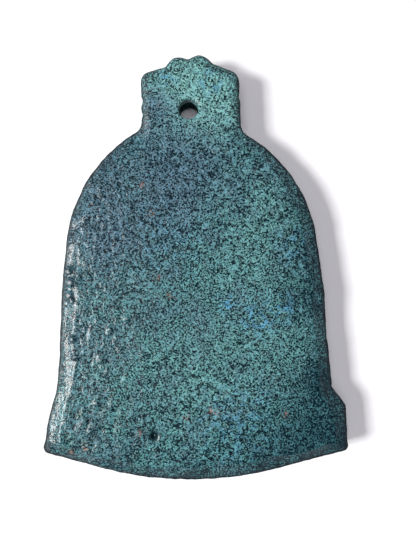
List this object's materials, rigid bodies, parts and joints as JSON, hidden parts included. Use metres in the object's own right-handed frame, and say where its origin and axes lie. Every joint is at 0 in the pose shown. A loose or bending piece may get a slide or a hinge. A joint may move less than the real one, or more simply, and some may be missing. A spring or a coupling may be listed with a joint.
{
  "type": "temple bell plaque",
  "caption": "Flat metal casting in the outline of a Japanese temple bell, plain back face, low relief front, with a hanging hole through its crown.",
  "frame": {"origin": "middle of the bounding box in X and Y, on the plane that the front relief rests on", "axes": "+Z is the outward normal of the flat back face, +Y points from the mouth to the crown, +X runs across the body, to the right when the back is seen with the crown up"},
  "size_m": [0.0715, 0.1, 0.009],
  "materials": {
    "patinated_bronze": "cast metal with a speckled blue-green verdigris, dark where it is rubbed, semi-matt"
  },
  "bodies": {
    "root": {"bell_casting": "patinated_bronze"}
  },
  "joints": []
}
